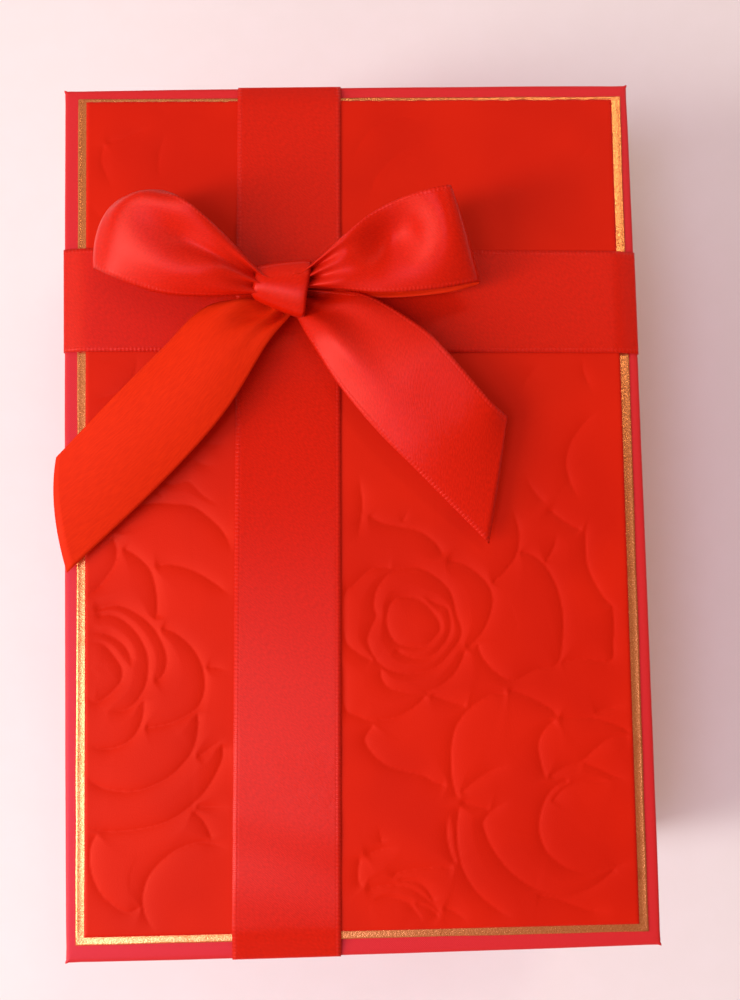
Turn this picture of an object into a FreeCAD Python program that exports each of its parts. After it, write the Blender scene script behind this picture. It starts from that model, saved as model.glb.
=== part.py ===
# Gift box: a rigid two-part box. A shallow lid lifts straight up off a deep base.
# Both are greyboard trays wrapped in paper. The lid carries a gold card, an embossed
# rose card, two satin ribbon bands and a satin bow held by a foam pad.
#
# Frame, in millimetres: the origin is the centre of the underside, +X runs across the
# box, +Y along it and +Z up. The bow lies towards the +Y end of the lid.

import FreeCAD
import Part
import math
import os

from FreeCAD import Vector

# Driving dimensions
box_width = 140.0            # outside of the lid across X
box_length = 210.0           # outside of the lid along Y
box_height = 85.0            # table to the paper on top of the lid
lid_depth = 35.0             # height of the lid's walls, outside
board = 2.0                  # greyboard
wrap = 0.35                  # wrapping paper with its glue
stay = 0.15                  # paper tape that joins the board's corners
lining = 0.3                 # lining paper and the sheet under the base
lift_clearance = 0.8         # between lid and base, each side
corner_round = 0.8           # vertical corners of the greyboard
top_edge_round = 0.5         # paper over the lid's top edges

ribbon_width = 25.4          # one-inch satin ribbon
ribbon = 0.4                 # ribbon of the flat bands
bow_ribbon = 0.8             # bow ribbon with its softness
band_turn = -1.1             # both bands lie slightly clockwise of square, degrees
crosswise_y = 50.6           # middle of the crosswise band at x = 0
lengthwise_x = -16.4         # middle of the lengthwise band at y = 0
band_turn_in = 18.0          # ribbon glued up inside the lid's walls

card_turn = -0.3             # gold card and rose card, glued slightly clockwise, degrees
gold_size = (134.6, 203.4)
gold_centre = (0.25, 0.5)
gold = 0.3
rose_size = (130.0, 200.4)
rose_centre = (0.15, 1.0)
rose = 1.0                   # embossed card over its backing

base_turn_in = 20.0          # wrap folded inside the base's rim
floor_turn_in = 18.0         # wrap folded under the base's floor
sheet_margin = 3.0           # bare strip round the sheet under the base
floor_card = 0.5
stay_leg = 20.0              # each leg of a corner tape
lining_below_rim = 4.5       # the side lining stops this far under the rim

# Worked out from the above
lid_bottom = box_height - lid_depth
lid_board_size = (box_width - 2 * wrap, box_length - 2 * wrap)
lid_board_inside = (lid_board_size[0] - 2 * board, lid_board_size[1] - 2 * board)
lid_inside = (lid_board_inside[0] - 2 * wrap, lid_board_inside[1] - 2 * wrap)
lid_board_under = box_height - wrap - board
rim_z = lid_board_under - lining          # the lid rests here on the base
base_size = (lid_inside[0] - 2 * lift_clearance, lid_inside[1] - 2 * lift_clearance)
base_board_size = (base_size[0] - 2 * wrap, base_size[1] - 2 * wrap)
base_board_inside = (base_board_size[0] - 2 * board, base_board_size[1] - 2 * board)
board_floor = lining + wrap               # underside of the base's greyboard
floor_top = board_floor + board
gold_top = box_height + gold
rose_top = gold_top + rose

nodes = {}


def prism(size, z_low, z_high, corner=0.0, centre=(0.0, 0.0), turn=0.0):
    """Upright rectangular block, with rounded upright corners when corner is given."""
    block = Part.makeBox(size[0], size[1], z_high - z_low,
                         Vector(-size[0] / 2, -size[1] / 2, z_low))
    if corner > 0:
        upright = [e for e in block.Edges
                   if abs(e.Vertexes[0].Z - e.Vertexes[1].Z) > 1e-6]
        block = block.makeFillet(corner, upright)
    block.rotate(Vector(0, 0, 0), Vector(0, 0, 1), turn)
    block.translate(Vector(centre[0], centre[1], 0))
    return block


def inset(size, amount):
    return (size[0] - 2 * amount, size[1] - 2 * amount)


def ring(size, thickness, z_low, z_high):
    """Upright rectangular tube: size is its outside."""
    return prism(size, z_low, z_high).cut(prism(inset(size, thickness), z_low, z_high))


def corner_stays(size, z_low, z_high):
    """Four tapes folded round the upright corners of a board of this outer size."""
    outside = prism(inset(size, -stay), z_low, z_high, corner_round + stay)
    tube = outside.cut(prism(size, z_low, z_high, corner_round))
    tapes = []
    for side_x in (-1, 1):
        for side_y in (-1, 1):
            window = Part.makeBox(2 * stay_leg, 2 * stay_leg, z_high - z_low,
                                  Vector(-stay_leg, -stay_leg, z_low))
            window.translate(Vector(side_x * size[0] / 2, side_y * size[1] / 2, 0))
            tapes.append(tube.common(window).Solids[0])
    return Part.makeCompound(tapes)


def round_top(block, z_top, radius):
    """Round the edges of the face that lies at z_top."""
    edges = [e for e in block.Edges
             if all(abs(v.Z - z_top) < 1e-6 for v in e.Vertexes)]
    return block.makeFillet(radius, edges)


# ---- base ----

def make_base():
    board_block = prism(base_board_size, board_floor, rim_z - wrap, corner_round)
    hollow = prism(base_board_inside, floor_top, rim_z - wrap)
    nodes["base_board"] = board_block.cut(hollow)

    stays = corner_stays(base_board_size, board_floor, rim_z - wrap)
    nodes["base_corner_stays"] = stays

    # One strip of paper round the walls, folded under the floor and over the rim
    skin = prism(base_size, lining, rim_z, corner_round + wrap)
    skin = skin.cut(board_block).cut(stays)
    skin = skin.cut(prism(inset(base_board_size, floor_turn_in), 0, floor_top))
    inside = inset(base_board_inside, wrap)
    skin = skin.cut(prism(inside, rim_z - wrap - 1, rim_z + 1))
    fold = ring(base_board_inside, wrap, rim_z - base_turn_in, rim_z - wrap)
    nodes["base_wrap"] = skin.fuse(fold).removeSplitter()

    nodes["base_bottom_sheet"] = prism(inset(base_size, sheet_margin), 0, lining)

    # Lining of the walls: it steps inward where it passes over the folded-in wrap
    step = rim_z - base_turn_in
    lower = ring(base_board_inside, lining, floor_top, step)
    joggle = ring(base_board_inside, wrap + lining, step - lining, step)
    upper = ring(inside, lining, step - lining, rim_z - lining_below_rim)
    nodes["base_side_lining"] = lower.fuse([joggle, upper]).removeSplitter()

    card = inset(base_board_inside, wrap + lining)
    nodes["base_floor_card"] = prism(card, floor_top, floor_top + floor_card)


# ---- lid ----

def make_lid():
    board_top = box_height - wrap
    board_low = lid_bottom + wrap
    board_block = prism(lid_board_size, board_low, board_top, corner_round)
    hollow = prism(lid_board_inside, board_low, lid_board_under)
    nodes["lid_board"] = board_block.cut(hollow)

    stays = corner_stays(lid_board_size, board_low, board_top)
    nodes["lid_corner_stays"] = stays

    # One sheet: over the top, down the walls, under their edge and up inside
    skin = prism((box_width, box_length), lid_bottom, box_height, corner_round + wrap)
    skin = round_top(skin, box_height, top_edge_round)
    skin = skin.cut(nodes["lid_board"]).cut(stays)
    nodes["lid_wrap"] = skin.cut(prism(lid_inside, lid_bottom - 1, lid_board_under))

    nodes["lid_lining"] = prism(lid_inside, rim_z, lid_board_under)
    nodes["gold_card"] = prism(gold_size, box_height, gold_top,
                               centre=gold_centre, turn=card_turn)
    nodes["rose_card"] = prism(rose_size, gold_top, rose_top,
                               centre=rose_centre, turn=card_turn)


# ---- ribbon bands ----

def thicken(path, thickness):
    """Closed outline of a strip whose inner side follows path, a list of (u, z).

    The strip lies on the left of the path, and its corners are mitred.
    """
    outer = []
    for i, point in enumerate(path):
        before = path[max(i - 1, 0)]
        after = path[min(i + 1, len(path) - 1)]
        normals = []
        for a, b in ((before, point), (point, after)):
            run = math.hypot(b[0] - a[0], b[1] - a[1])
            if run > 0:
                normals.append((-(b[1] - a[1]) / run, (b[0] - a[0]) / run))
        nu = sum(n[0] for n in normals) / len(normals)
        nz = sum(n[1] for n in normals) / len(normals)
        stretch = thickness / (nu * nu + nz * nz)
        outer.append((point[0] + nu * stretch, point[1] + nz * stretch))
    return path + outer[::-1]


def band(half_span, inside_half, card_ends, crossing=None):
    """Profile of a band that goes over the lid and is turned up inside both walls.

    half_span and inside_half are half the lid outside and inside, card_ends where the
    rose card's edges lie, and crossing the two ends of a raised stretch, if there is one.
    """
    low_card, high_card = card_ends
    path = [(-inside_half, lid_bottom + band_turn_in), (-inside_half, lid_bottom),
            (-half_span, lid_bottom), (-half_span, box_height), (low_card, rose_top)]
    if crossing:
        ramp = 2.0
        path += [(crossing[0] - ramp, rose_top), (crossing[0], rose_top + ribbon),
                 (crossing[1], rose_top + ribbon), (crossing[1] + ramp, rose_top)]
    path += [(high_card, rose_top), (half_span, box_height), (half_span, lid_bottom),
             (inside_half, lid_bottom), (inside_half, lid_bottom + band_turn_in)]
    return thicken(path, ribbon)


def make_bands():
    lean = math.tan(math.radians(-band_turn))
    beyond = 0.4                      # the ribbon leaves the rose card this far outside it
    card_x = rose_size[0] / 2 + beyond
    card_y = rose_size[1] / 2 + beyond
    reach = 2 * box_length

    outline = band(box_width / 2, lid_inside[0] / 2,
                   (rose_centre[0] - card_x, rose_centre[0] + card_x))
    points = [Vector(x, 0, z) for x, z in outline]
    strip = Part.Face(Part.makePolygon(points + points[:1]))
    strip = strip.extrude(Vector(0, 2 * ribbon_width, 0))
    strip.translate(Vector(0, crosswise_y - ribbon_width, 0))
    cutter = prism((reach, ribbon_width), 0, 2 * box_height,
                   centre=(0, crosswise_y), turn=band_turn)
    nodes["crosswise_ribbon"] = strip.common(cutter)

    crossing_y = crosswise_y - lean * lengthwise_x
    hump = ribbon_width / 2 + lean * ribbon_width / 2 + 0.3
    outline = band(box_length / 2, lid_inside[1] / 2,
                   (rose_centre[1] - card_y, rose_centre[1] + card_y),
                   (crossing_y - hump, crossing_y + hump))
    points = [Vector(0, y, z) for y, z in outline]
    strip = Part.Face(Part.makePolygon(points + points[:1]))
    strip = strip.extrude(Vector(2 * ribbon_width, 0, 0))
    strip.translate(Vector(lengthwise_x - ribbon_width, 0, 0))
    cutter = prism((ribbon_width, reach), 0, 2 * box_height,
                   centre=(lengthwise_x, 0), turn=band_turn)
    nodes["lengthwise_ribbon"] = strip.common(cutter)


# ---- bow ----
# Heights of the bow's points are above the paper on top of the lid.

knot_outline = [(-22.9, 56.0), (-10.0, 57.6), (-10.2, 52.0), (-11.6, 46.0),
                (-13.0, 44.8), (-17.5, 47.8), (-23.5, 50.5)]
knot_low = 3.7
knot_high = 13.5
pad_radius = 5.0
pad_centre = (-16.8, 52.0)

# Each line is one crossing of the ribbon: its two edges as (x, y, height).
# The loops start and end in the knot, over the top, round the far fold and back under.
left_loop = [((-22.0, 51.0, 9.0), (-21.6, 55.6, 12.6)),
             ((-32.0, 49.7, 12.0), (-30.5, 63.8, 17.5)),
             ((-44.0, 49.6, 11.0), (-39.5, 70.5, 21.0)),
             ((-54.5, 53.0, 8.5), (-48.5, 73.0, 22.0)),
             ((-60.2, 57.6, 6.8), (-53.0, 72.3, 21.6)),
             ((-61.9, 59.2, 5.0), (-54.2, 71.2, 19.8)),
             ((-60.0, 58.4, 3.6), (-52.6, 71.0, 18.0)),
             ((-55.0, 56.0, 3.2), (-48.0, 71.0, 15.0)),
             ((-42.0, 52.5, 5.0), (-38.0, 66.5, 12.5)),
             ((-22.0, 51.4, 6.6), (-21.6, 55.6, 8.4))]
right_loop = [((-11.2, 51.0, 10.0), (-11.2, 56.8, 12.6)),
              ((-3.0, 50.0, 13.0), (-3.0, 62.5, 17.0)),
              ((7.0, 49.0, 14.5), (5.0, 67.5, 20.0)),
              ((19.0, 50.5, 14.0), (14.0, 69.5, 23.0)),
              ((27.2, 52.4, 12.6), (21.0, 71.0, 24.0)),
              ((29.0, 53.2, 10.8), (22.4, 71.2, 22.2)),
              ((27.4, 52.6, 9.2), (21.2, 71.0, 20.4)),
              ((21.0, 50.4, 8.8), (17.0, 69.5, 17.0)),
              ((7.0, 49.2, 9.0), (4.0, 65.0, 12.5)),
              ((-11.2, 50.8, 7.6), (-11.2, 56.4, 8.6))]
left_tail = [((-21.5, 50.3, 4.6), (-14.6, 47.2, 4.8)),
             ((-35.0, 47.2, 6.8), (-20.6, 38.6, 9.5)),
             ((-45.0, 37.5, 10.0), (-30.8, 22.5, 8.0)),
             ((-56.0, 26.3, 11.5), (-45.9, 6.6, 5.5)),
             ((-69.4, 9.5, 9.5), (-68.4, -14.0, 3.5))]
right_tail = [((-13.6, 46.6, 5.4), (-11.4, 50.5, 5.0)),
              ((-9.3, 38.2, 9.0), (3.5, 50.6, 5.6)),
              ((-2.9, 27.8, 10.5), (15.7, 42.4, 7.4)),
              ((5.6, 17.8, 8.5), (22.4, 36.0, 7.4)),
              ((15.2, 8.0, 5.6), (32.2, 25.2, 6.4)),
              ((31.9, -9.4, 2.2), (36.6, 20.6, 5.0))]


def ribbon_solid(crossings, thickness):
    """Strip of even thickness through the crossings of a ribbon."""
    pairs = [(Vector(*a) + Vector(0, 0, box_height), Vector(*b) + Vector(0, 0, box_height))
             for a, b in crossings]
    middles = [(a + b) * 0.5 for a, b in pairs]
    runs = [(q - p).normalize() for p, q in zip(middles, middles[1:])]
    headings = [p + q for p, q in zip(runs[:1] + runs, runs + runs[-1:])]
    sections = []
    for (a, b), heading in zip(pairs, headings):
        normal = heading.cross(b - a)
        normal.normalize()
        half = normal * (thickness / 2)
        sections.append([a + half, b + half, b - half, a - half, a + half])
    faces = [Part.Face(Part.makePolygon(end)) for end in (sections[0], sections[-1])]
    for this, following in zip(sections, sections[1:]):
        for k in range(4):
            faces.append(Part.makeRuledSurface(Part.makeLine(this[k], this[k + 1]),
                                               Part.makeLine(following[k], following[k + 1])))
    shell = Part.makeShell(faces)
    shell.sewShape()
    solid = Part.makeSolid(shell)
    if solid.Volume < 0:
        solid.reverse()
    return solid


def make_bow():
    band_top = rose_top + 2 * ribbon
    pad_low = band_top
    pad_high = box_height + knot_low
    nodes["bow_pad"] = Part.makeCylinder(pad_radius, pad_high - pad_low,
                                         Vector(pad_centre[0], pad_centre[1], pad_low))

    corners = [Vector(x, y, pad_high) for x, y in knot_outline]
    knot = Part.Face(Part.makePolygon(corners + corners[:1]))
    knot = knot.extrude(Vector(0, 0, knot_high - knot_low))
    knot = round_top(knot, box_height + knot_high, 1.0)
    nodes["bow_knot"] = knot

    taken = knot
    for name, crossings in (("bow_left_loop", left_loop), ("bow_right_loop", right_loop),
                            ("bow_left_tail", left_tail), ("bow_right_tail", right_tail)):
        piece = ribbon_solid(crossings, bow_ribbon).cut(taken)
        nodes[name] = max(piece.Solids, key=lambda s: s.Volume)


def main():
    make_base()
    make_lid()
    make_bands()
    make_bow()
    os.makedirs("parts", exist_ok=True)
    for name, shape in nodes.items():
        shape.exportStep(os.path.join("parts", name + ".step"))
        bounds = shape.BoundBox
        print("%-20s solids %d valid %s volume %.1f  x %.2f..%.2f y %.2f..%.2f z %.2f..%.2f" % (
            name, len(shape.Solids), shape.isValid(), shape.Volume, bounds.XMin, bounds.XMax,
            bounds.YMin, bounds.YMax, bounds.ZMin, bounds.ZMax))


main()
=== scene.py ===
import bpy
import math
import numpy as np
from mathutils import Matrix, Vector, noise


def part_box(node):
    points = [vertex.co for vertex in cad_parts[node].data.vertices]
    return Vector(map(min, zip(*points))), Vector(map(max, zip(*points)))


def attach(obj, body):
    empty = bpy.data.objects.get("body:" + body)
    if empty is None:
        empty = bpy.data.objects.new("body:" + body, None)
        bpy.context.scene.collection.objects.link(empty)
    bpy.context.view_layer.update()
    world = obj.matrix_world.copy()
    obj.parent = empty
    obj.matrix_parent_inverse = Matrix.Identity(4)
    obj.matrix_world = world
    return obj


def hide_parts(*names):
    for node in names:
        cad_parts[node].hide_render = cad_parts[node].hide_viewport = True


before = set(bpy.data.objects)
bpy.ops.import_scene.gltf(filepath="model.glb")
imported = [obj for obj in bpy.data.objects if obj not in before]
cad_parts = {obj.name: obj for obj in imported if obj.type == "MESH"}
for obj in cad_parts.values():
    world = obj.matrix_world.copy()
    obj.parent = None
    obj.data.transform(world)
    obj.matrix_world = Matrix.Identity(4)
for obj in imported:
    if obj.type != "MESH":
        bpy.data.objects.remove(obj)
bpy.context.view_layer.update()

mm = 0.001
ribbonWidth = 25.4       # mm
lidLow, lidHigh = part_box("lid_wrap")
baseLow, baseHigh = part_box("base_wrap")
lidTop = lidHigh[2]      # the paper on top of the lid, in metres
print("frame read, lid top at", round(lidTop / mm, 2), "mm")


cameraPlace = {
    "stands": (-3.678, -18.188, 350.254),      # mm
    "ahead": (0.02649, 0.07552, -0.99679),     # the way it looks
    "top": (0.01987, 0.99691, 0.07605),        # the way the top of the picture points
    "lens": 39.6, "film": 36,                  # mm
    "nearest": 0.01,                           # metres
}


def makeCamera(place):
    camera = bpy.data.objects.new("camera", bpy.data.cameras.new("camera"))
    camera.data.lens = place["lens"]
    camera.data.sensor_width = place["film"]
    camera.data.clip_start = place["nearest"]
    stands = Vector(place["stands"]) * mm
    ahead = Vector(place["ahead"]).normalized()
    right = ahead.cross(Vector(place["top"])).normalized()
    axes = Matrix((right, right.cross(ahead), -ahead)).transposed()
    camera.matrix_world = Matrix.Translation(stands) @ axes.to_4x4()
    bpy.context.scene.collection.objects.link(camera)
    bpy.context.scene.camera = camera


class Wire:
    # an output of a node; sums and products on it add Math nodes
    def __init__(self, finish, socket):
        self.finish = finish
        self.socket = socket

    def math(self, operation, *others):
        return self.finish.node("ShaderNodeMath", {"operation": operation},
                                {i: v for i, v in enumerate((self, *others))})

    def __add__(self, other):
        return self.math("ADD", other)

    __radd__ = __add__

    def __sub__(self, other):
        return self.math("SUBTRACT", other)

    def __rsub__(self, other):
        return (self * -1.0).math("ADD", other)

    def __mul__(self, other):
        return self.math("MULTIPLY", other)

    __rmul__ = __mul__

    def ramp(self, low, high):
        # smooth step from 0 at low to 1 at high
        settings = {"interpolation_type": "SMOOTHSTEP"}
        return self.finish.node("ShaderNodeMapRange", settings, {0: self, 1: low, 2: high, 3: 0.0, 4: 1.0})


class Finish:
    # a material or the room's sky being made: node() adds any node, surface() sets its shader
    def __init__(self, name, kind="materials", shader="Principled BSDF"):
        self.material = getattr(bpy.data, kind).new(name)
        self.material.use_nodes = True
        self.tree = self.material.node_tree
        self.shader = self.tree.nodes[shader]

    def node(self, kind, settings=None, sockets=None, output=0):
        made = self.tree.nodes.new(kind)
        for key, value in (settings or {}).items():
            setattr(made, key, value)
        for key, value in (sockets or {}).items():
            self.feed(made.inputs[key], value)
        return Wire(self, made.outputs[output])

    def feed(self, socket, value):
        if isinstance(value, Wire):
            self.tree.links.new(value.socket, socket)
        else:
            socket.default_value = value

    def place(self):
        # place on the object, in millimetres, as x, y and z
        spot = self.node("ShaderNodeTexCoord", output="Object")
        return [metres * 1000.0 for metres in self.split(spot)]

    def cloth(self):
        # place on the flat cloth, in millimetres: along it and across it
        flat = self.node("ShaderNodeUVMap", {"uv_map": "flat"})
        return [metres * 1000.0 for metres in self.split(flat)[:2]]

    def split(self, vector):
        parts = self.node("ShaderNodeSeparateXYZ", sockets={0: vector}).socket.node
        return [Wire(self, parts.outputs[i]) for i in range(3)]

    def spot(self, x, y, z=0.0):
        return self.node("ShaderNodeCombineXYZ", sockets={0: x, 1: y, 2: z})

    def speckle(self, spot, scale, detail=2.0, rough=0.5):
        sockets = {"Vector": spot, "Scale": scale, "Detail": detail, "Roughness": rough}
        return self.node("ShaderNodeTexNoise", {}, sockets)

    def mix(self, factor, first, second):
        return self.node("ShaderNodeMix", {"data_type": "RGBA"}, {0: factor, 6: first, 7: second}, 2)

    def bump(self, height, depth):
        # depth is what a height of 1 stands for, in metres
        return self.node("ShaderNodeBump", {}, {"Height": height, "Distance": depth, "Strength": 1.0})

    def surface(self, **values):
        for key, value in values.items():
            self.feed(self.shader.inputs[key.replace("_", " ")], value)
        return self.material


def shade(red, green, blue):
    return (red, green, blue, 1.0)


roomLight = {
    "lamps": {
        "window": {"at": (-0.75, -0.23, 0.62), "wide": 0.17, "tall": 0.75, "power": 6.5,
                   "colour": (0.99, 0.985, 1.02)},
        "farWindow": {"at": (-0.62, 0.95, 0.95), "wide": 0.7, "tall": 0.7, "power": 0.4,
                      "colour": (1.0, 0.95, 0.90)},
        "ceilingNear": {"at": (-0.50, -0.30, 1.50), "wide": 0.36, "tall": 0.36, "power": 4.6,
                        "colour": (0.92, 0.88, 1.45)},
        "ceilingFar": {"at": (0.40, 0.66, 1.50), "wide": 0.24, "tall": 0.24, "power": 1.9,
                       "colour": (1.0, 0.87, 0.76)},
        "backWall": {"at": (0.90, 1.10, 0.70), "wide": 0.9, "tall": 0.7, "power": 3.0,
                     "colour": (1.0, 0.93, 0.90)},
    },
    "aim": (0, 0, 0.06),     # the spot that every lamp faces, metres
    # the room is white and bright towards the windows, and dimmer and warmer away from them
    "bright": shade(0.78, 0.66, 0.66), "dim": shade(0.33, 0.19, 0.17),
    "towards": (-0.92, -0.38, 0.06), "turn": (-0.4, 0.8),
    "floor": (0.88, 0.83, 0.755), "floorSide": 6,
}


def makeLamp(name, lamp):
    data = bpy.data.lights.new(name, "AREA")
    data.shape = "RECTANGLE"
    data.size = lamp["wide"]
    data.size_y = lamp["tall"]
    data.energy = lamp["power"]
    data.color = lamp["colour"]
    thing = bpy.data.objects.new(name, data)
    thing.location = lamp["at"]
    thing.rotation_euler = (Vector(roomLight["aim"]) - thing.location).to_track_quat("-Z", "Y").to_euler()
    bpy.context.scene.collection.objects.link(thing)


def makeRoom(light):
    for name, lamp in light["lamps"].items():
        makeLamp(name, lamp)
    room = Finish("room", "worlds", "Background")
    ways = room.node("ShaderNodeTexCoord", output="Generated")
    facing = room.node("ShaderNodeVectorMath", {"operation": "DOT_PRODUCT"},
                       {0: ways, 1: light["towards"]}, "Value")
    sky = room.mix(facing.ramp(*light["turn"]), light["dim"], light["bright"])
    bpy.context.scene.world = room.surface(Color=sky)
    bpy.context.scene.view_settings.view_transform = "Standard"


makeCamera(cameraPlace)
makeRoom(roomLight)
print("camera and lights stand")


# In each finish grain is how fine its speckles are, depth is how far they stand up in metres,
# and roughness runs from rough up to rough + rougher.
rosePaper = {
    "red": shade(0.64, 0.0115, 0.0013), "deep": shade(0.58, 0.0088, 0.0010), "shine": shade(1.0, 0.23, 0.13),
    "grain": 3.0, "depth": 0.00003, "rough": 0.44, "rougher": 0.14, "clouds": 0.03, "clouding": (0.35, 0.65),
}


def makeRosePaper(look):
    finish = Finish("rosePaper")
    x, y = finish.place()[:2]
    fine = finish.speckle(finish.spot(x, y), look["grain"], 3.0)
    cloudy = finish.speckle(finish.spot(x, y), look["clouds"])
    colour = finish.mix(cloudy.ramp(*look["clouding"]), look["red"], look["deep"])
    return finish.surface(Base_Color=colour, Roughness=look["rough"] + fine * look["rougher"],
                          Specular_IOR_Level=0.5, Specular_Tint=look["shine"],
                          Normal=finish.bump(fine, look["depth"]))


wrapPaper = {
    "red": shade(0.60, 0.015, 0.010), "pale": shade(0.68, 0.025, 0.021), "shine": shade(1.0, 0.33, 0.50),
    "grain": 2.2, "depth": 0.00004, "rough": 0.36, "rougher": 0.2,
    "weave": 0.5, "slant": 0.7,      # mm from thread to thread, and how the threads lean on the walls
}


def makeWrapPaper(look):
    finish = Finish("wrapPaper")
    x, y, z = finish.place()
    along = (x + z * look["slant"]) * (2 * math.pi / look["weave"])
    across = (y + z * look["slant"]) * (2 * math.pi / look["weave"])
    threads = along.math("SINE") * across.math("SINE") * 0.5 + 0.5
    fine = finish.speckle(finish.spot(x, y, z), look["grain"], 3.0)
    uneven = threads * 0.5 + fine * 0.5
    colour = finish.mix(uneven.ramp(0.3, 0.75), look["red"], look["pale"])
    return finish.surface(Base_Color=colour, Roughness=look["rough"] + fine * look["rougher"],
                          Specular_IOR_Level=0.6, Specular_Tint=look["shine"],
                          Normal=finish.bump(uneven, look["depth"]))


goldFoil = {
    "gold": shade(0.93, 0.36, 0.115), "worn": shade(0.58, 0.15, 0.035), "mottle": 0.25,
    "grain": 2.4, "depth": 0.00005, "rough": 0.2, "rougher": 0.14,
}


def makeGoldFoil(look):
    finish = Finish("goldFoil")
    x, y, z = finish.place()
    mottled = finish.speckle(finish.spot(x, y, z), look["mottle"], 4.0)
    fine = finish.speckle(finish.spot(x, y, z), look["grain"], 3.0, 0.7)
    wear = mottled.ramp(0.5, 0.85) * 0.5 + fine.ramp(0.35, 0.7) * 0.5
    colour = finish.mix(wear, look["gold"], look["worn"])
    return finish.surface(Base_Color=colour, Metallic=1.0, Roughness=look["rough"] + fine * look["rougher"],
                          Normal=finish.bump(fine, look["depth"]))


satin = {
    # the second, lighter face colour is a painted sheen laid on the weave's floats
    "face": shade(0.53, 0.0085, 0.0010), "facePaintedSheen": shade(0.66, 0.012, 0.0015),
    "back": shade(0.76, 0.027, 0.0022), "shine": shade(1.0, 0.21, 0.18),
    # the groove colour is painted shade in the groove beside the selvedge, and the stitch colour is a painted
    # glint on the selvedge's stitches
    "groove": shade(0.5, 0.006, 0.002), "stitchPaintedGlint": shade(0.86, 0.045, 0.03),
    "twill": 0.52, "slope": 0.9, "twillDepth": 0.000045,     # the slanting lines of the weave
    "selvedge": 1.15, "selvedgeSoft": 0.15,                  # the firm edge, mm wide
    "stitch": 0.95, "stitchDepth": 0.00004,                  # the rungs along that edge
    "rough": 0.28, "rougher": 0.1, "backRough": 0.62, "spread": 0.95,
}


def makeSatin(look, backSide):
    finish = Finish("satinBack" if backSide else "satinFace")
    along, across = finish.cloth()
    slanting = along + across * look["slope"]
    twill = (slanting * (2 * math.pi / look["twill"])).math("SINE") * 0.5 + 0.5
    slub = finish.speckle(finish.spot(along * 0.25, across * 2.0), 1.3, 3.0)
    edge = across.math("MINIMUM", ribbonWidth - across)       # distance from the nearer selvedge
    soft = look["selvedgeSoft"]
    selvedge = 1.0 - edge.ramp(look["selvedge"] - soft, look["selvedge"] + soft)
    rung = (along * (2 * math.pi / look["stitch"])).math("SINE") * 0.5 + 0.5
    stitches = selvedge * rung.ramp(0.25, 0.75)
    if backSide:
        height = twill * 0.15 + slub * 0.3 + stitches * 0.25
        colour = finish.mix(slub.ramp(0.3, 0.7), look["back"], look["face"])
        return finish.surface(Base_Color=finish.mix(0.3, look["back"], colour), Roughness=look["backRough"],
                              Specular_IOR_Level=0.3, Specular_Tint=look["shine"],
                              Normal=finish.bump(height, look["twillDepth"]))
    floats = finish.speckle(finish.spot(slanting * 2.6, (along - across) * 0.7), 1.0, 2.0, 0.7)
    groove = 1.0 - (edge - look["selvedge"]).math("ABSOLUTE").ramp(0.05, 0.35)
    weave = (floats * 0.6 + twill * 0.2 + slub * 0.2) * (1.0 - selvedge)
    # the floats of the weave are painted lighter: a painted sheen
    colour = finish.mix(floats.ramp(0.3, 0.7), look["face"], look["facePaintedSheen"])
    # the groove beside the selvedge is painted darker (painted shade), and its stitches lighter (painted
    # glint)
    colour = finish.mix(groove * 0.12, colour, look["groove"])
    colour = finish.mix(stitches * 0.1, colour, look["stitchPaintedGlint"])
    height = weave * (look["twillDepth"] / look["stitchDepth"]) + stitches - groove * 0.6
    return finish.surface(Base_Color=colour, Roughness=look["rough"] + floats * look["rougher"],
                          Specular_IOR_Level=0.62, Specular_Tint=look["shine"], Anisotropic=look["spread"],
                          Normal=finish.bump(height, look["stitchDepth"]))


plainFinishes = {
    "greyBoard": {"first": shade(0.30, 0.27, 0.235), "second": shade(0.42, 0.385, 0.34),
                  "grain": 0.9, "depth": 0.0001, "rough": 0.9},
    "stayTape": {"first": shade(0.55, 0.42, 0.27), "second": shade(0.66, 0.53, 0.37),
                 "grain": 0.6, "depth": 0.00004, "rough": 0.75},
    "liningPaper": {"first": shade(0.80, 0.76, 0.70), "second": shade(0.88, 0.85, 0.80),
                    "grain": 1.4, "depth": 0.00003, "rough": 0.8},
    "padFoam": {"first": shade(0.42, 0.012, 0.006), "second": shade(0.52, 0.018, 0.008),
                "grain": 3.0, "depth": 0.00012, "rough": 0.95},
    "floorPaper": {"first": shade(*roomLight["floor"]), "second": shade(0.89, 0.84, 0.77),
                   "grain": 0.1, "depth": 0.00001, "rough": 0.85},
}


def makePlain(name, look):
    finish = Finish(name)
    spot = finish.spot(*finish.place())
    grain = finish.speckle(spot, look["grain"], 4.0, 0.6)
    patches = finish.speckle(spot, 0.05)
    colour = finish.mix((grain * 0.7 + patches * 0.3).ramp(0.35, 0.7), look["first"], look["second"])
    return finish.surface(Base_Color=colour, Roughness=look["rough"], Specular_IOR_Level=0.3,
                          Normal=finish.bump(grain, look["depth"]))


finishes = {name: makePlain(name, look) for name, look in plainFinishes.items()}
finishes["rosePaper"] = makeRosePaper(rosePaper)
finishes["wrapPaper"] = makeWrapPaper(wrapPaper)
finishes["goldFoil"] = makeGoldFoil(goldFoil)
finishes["satinFace"] = makeSatin(satin, False)
finishes["satinBack"] = makeSatin(satin, True)
print("finishes made:", ", ".join(sorted(finishes)))


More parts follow.
